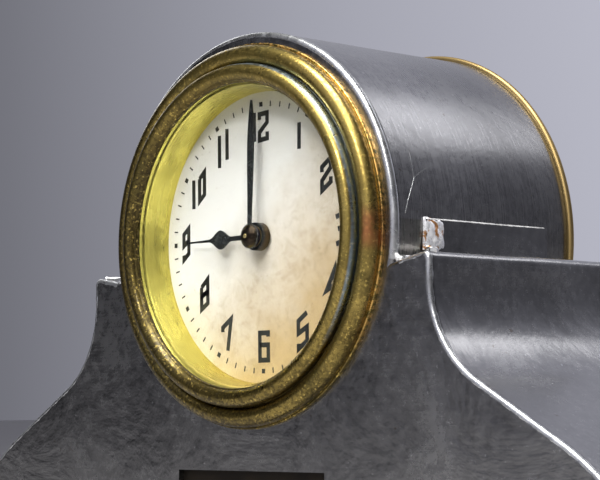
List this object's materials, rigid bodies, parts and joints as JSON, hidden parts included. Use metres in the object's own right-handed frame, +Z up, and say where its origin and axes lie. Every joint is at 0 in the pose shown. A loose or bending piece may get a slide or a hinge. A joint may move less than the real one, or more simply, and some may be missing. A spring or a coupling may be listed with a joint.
{
  "type": "mantel clock",
  "caption": "Tambour mantel clock: round drum with brass bezel on a flared soldered metal case, window recess, flat base, and a spring-driven movement with key, hand-setting knob and regulator.",
  "frame": {"origin": "centre of the base on the resting plane, midway between the case's front and back plates", "axes": "+Z up, dial faces -Y, +X to the right seen from the front"},
  "size_m": [0.191, 0.0636, 0.1092],
  "materials": {
    "case_metal": "tinned sheet, brushed, tarnished",
    "drum_metal": "tinned sheet, brushed round",
    "solder": "cast soft solder, bright",
    "bezel_brass": "spun, aged and tarnished",
    "bright_brass": "clean satin",
    "cover_brass": "spun, lightly tarnished",
    "movement_brass": "fine-grained",
    "arbor_steel": "turned and polished",
    "spring_steel": "blued",
    "hand_black": "gloss black",
    "cap_bronze": "dark bronze",
    "dial_ivory": "satin ivory enamel",
    "clear_glass": "flat polished",
    "window_black": "matt black",
    "frame_brass": "dark, tarnished",
    "felt_green": "pressed felt",
    "screw_steel": "slotted, bright"
  },
  "bodies": {
    "case": {"front_plate": "case_metal", "back_plate": "case_metal", "side_wrap_left": "case_metal", "side_wrap_right": "case_metal", "solder_fillets": "solder", "drum_shell": "drum_metal", "base_plinth": "case_metal", "base_plate": "case_metal", "base_posts": "case_metal", "base_screws": "screw_steel", "felt_pads": "felt_green", "window_frame": "frame_brass", "window_panel": "window_black", "bezel": "bezel_brass", "reflector_ring": "bright_brass", "crystal": "clear_glass", "dial": "dial_ivory", "dial_feet": "movement_brass", "back_cover": "cover_brass", "mounting_straps": "drum_metal", "movement_screws": "screw_steel", "cover_screws": "screw_steel", "movement_front_plate": "movement_brass", "movement_back_plate": "movement_brass", "pillars": "movement_brass", "pillar_nuts": "screw_steel", "mainspring": "spring_steel", "balance_screws": "screw_steel", "hairspring": "spring_steel"},
    "minute_hand_group": {"centre_arbor": "arbor_steel", "centre_wheel": "movement_brass", "centre_pinion": "arbor_steel", "cannon_pinion": "arbor_steel", "minute_hand": "hand_black", "minute_hand_collet": "cap_bronze", "hand_cap": "cap_bronze", "set_knob": "cover_brass"},
    "minute_wheel_group": {"minute_wheel": "movement_brass"},
    "hour_hand_group": {"hour_wheel": "movement_brass", "hour_hand": "hand_black", "hour_hand_collet": "cap_bronze"},
    "great_wheel_group": {"great_wheel": "movement_brass", "click_rivet": "arbor_steel", "click_spring": "spring_steel"},
    "click_group": {"click": "arbor_steel"},
    "winding_group": {"main_arbor": "arbor_steel", "ratchet_wheel": "movement_brass", "winding_key": "cover_brass"},
    "third_wheel_group": {"third_arbor": "arbor_steel", "third_wheel": "movement_brass"},
    "fourth_wheel_group": {"fourth_arbor": "arbor_steel", "fourth_wheel": "movement_brass"},
    "escape_wheel_group": {"escape_arbor": "arbor_steel", "escape_wheel": "movement_brass"},
    "pallet_group": {"pallet_arbor": "arbor_steel", "pallet_lever": "movement_brass", "pallet_pins": "arbor_steel"},
    "balance_group": {"balance_staff": "arbor_steel", "balance_wheel": "movement_brass"},
    "regulator_group": {"regulator_index": "arbor_steel"}
  },
  "joints": [
    {"name": "minute_hand_turn", "type": "hinge", "parent": "case", "child": "minute_hand_group", "pos_m": [0, 0, 0.072], "axis": [0, 1, 0], "continuous": true},
    {"name": "minute_wheel_turn", "type": "hinge", "parent": "case", "child": "minute_wheel_group", "pos_m": [0.0048, 0, 0.06369], "axis": [0, 1, 0], "continuous": true},
    {"name": "hour_hand_turn", "type": "hinge", "parent": "case", "child": "hour_hand_group", "pos_m": [0, 0, 0.072], "axis": [0, 1, 0], "continuous": true},
    {"name": "great_wheel_turn", "type": "hinge", "parent": "case", "child": "great_wheel_group", "pos_m": [-0.01202, 0, 0.05998], "axis": [0, 1, 0], "continuous": true},
    {"name": "third_wheel_turn", "type": "hinge", "parent": "case", "child": "third_wheel_group", "pos_m": [-0.00714, 0, 0.08437], "axis": [0, 1, 0], "continuous": true},
    {"name": "fourth_wheel_turn", "type": "hinge", "parent": "case", "child": "fourth_wheel_group", "pos_m": [0.00352, 0, 0.08825], "axis": [0, 1, 0], "continuous": true},
    {"name": "escape_wheel_turn", "type": "hinge", "parent": "case", "child": "escape_wheel_group", "pos_m": [0.01249, 0, 0.08407], "axis": [0, 1, 0], "continuous": true},
    {"name": "winding_key_turn", "type": "hinge", "parent": "case", "child": "winding_group", "pos_m": [-0.01202, 0, 0.05998], "axis": [0, 1, 0], "continuous": true},
    {"name": "click_lift", "type": "hinge", "parent": "great_wheel_group", "child": "click_group", "pos_m": [-0.00732, 0, 0.06812], "axis": [0, 1, 0], "range_deg": [0, 12], "stiffness_Nm_per_rad": 0.00002},
    {"name": "pallet_rock", "type": "hinge", "parent": "case", "child": "pallet_group", "pos_m": [0.01559, 0, 0.0787], "axis": [0, 1, 0], "range_deg": [-5, 5]},
    {"name": "balance_swing", "type": "hinge", "parent": "case", "child": "balance_group", "pos_m": [0.01637, 0, 0.06973], "axis": [0, 1, 0], "range_deg": [-200, 200], "stiffness_Nm_per_rad": 0.000017},
    {"name": "regulator_shift", "type": "hinge", "parent": "case", "child": "regulator_group", "pos_m": [0.01637, 0, 0.06973], "axis": [0, 1, 0], "range_deg": [-25, 25]}
  ],
  "couplings": [
    {"joint": "minute_wheel_turn", "follows": "minute_hand_turn", "ratio": -0.33333},
    {"joint": "hour_hand_turn", "follows": "minute_hand_turn", "ratio": 0.083333},
    {"joint": "great_wheel_turn", "follows": "minute_hand_turn", "ratio": -0.13333},
    {"joint": "third_wheel_turn", "follows": "minute_hand_turn", "ratio": -7.5},
    {"joint": "fourth_wheel_turn", "follows": "minute_hand_turn", "ratio": 60},
    {"joint": "escape_wheel_turn", "follows": "minute_hand_turn", "ratio": -600}
  ]
}
